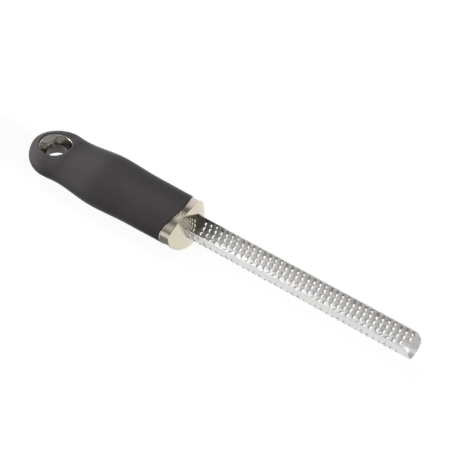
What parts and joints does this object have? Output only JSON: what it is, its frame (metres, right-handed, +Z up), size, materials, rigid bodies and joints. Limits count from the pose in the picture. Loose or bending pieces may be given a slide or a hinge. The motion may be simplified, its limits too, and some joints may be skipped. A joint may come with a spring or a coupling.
{
  "type": "rasp zester",
  "caption": "Hand zester: a half-round etched steel rasp blade, open side up, in a soft oval grip with a plated cap and hanging ring.",
  "frame": {"origin": "centre of the bounding box on the plane that the grip lies on", "axes": "+X from the grip to the blade's tip, +Z up through the blade's open side, +Y across"},
  "size_m": [0.3092, 0.0446, 0.0297],
  "materials": {
    "grip": "soft-touch elastomer, fine matte",
    "plating": "polished warm nickel plating",
    "core": "moulded",
    "pins": "ground",
    "blade": "bright etched stainless sheet"
  },
  "bodies": {
    "root": {"soft_grip": "grip", "hang_ring": "plating", "front_cap": "plating", "core_lower": "core", "core_upper": "core", "tang_pins": "pins", "rasp_blade": "blade"}
  },
  "joints": []
}
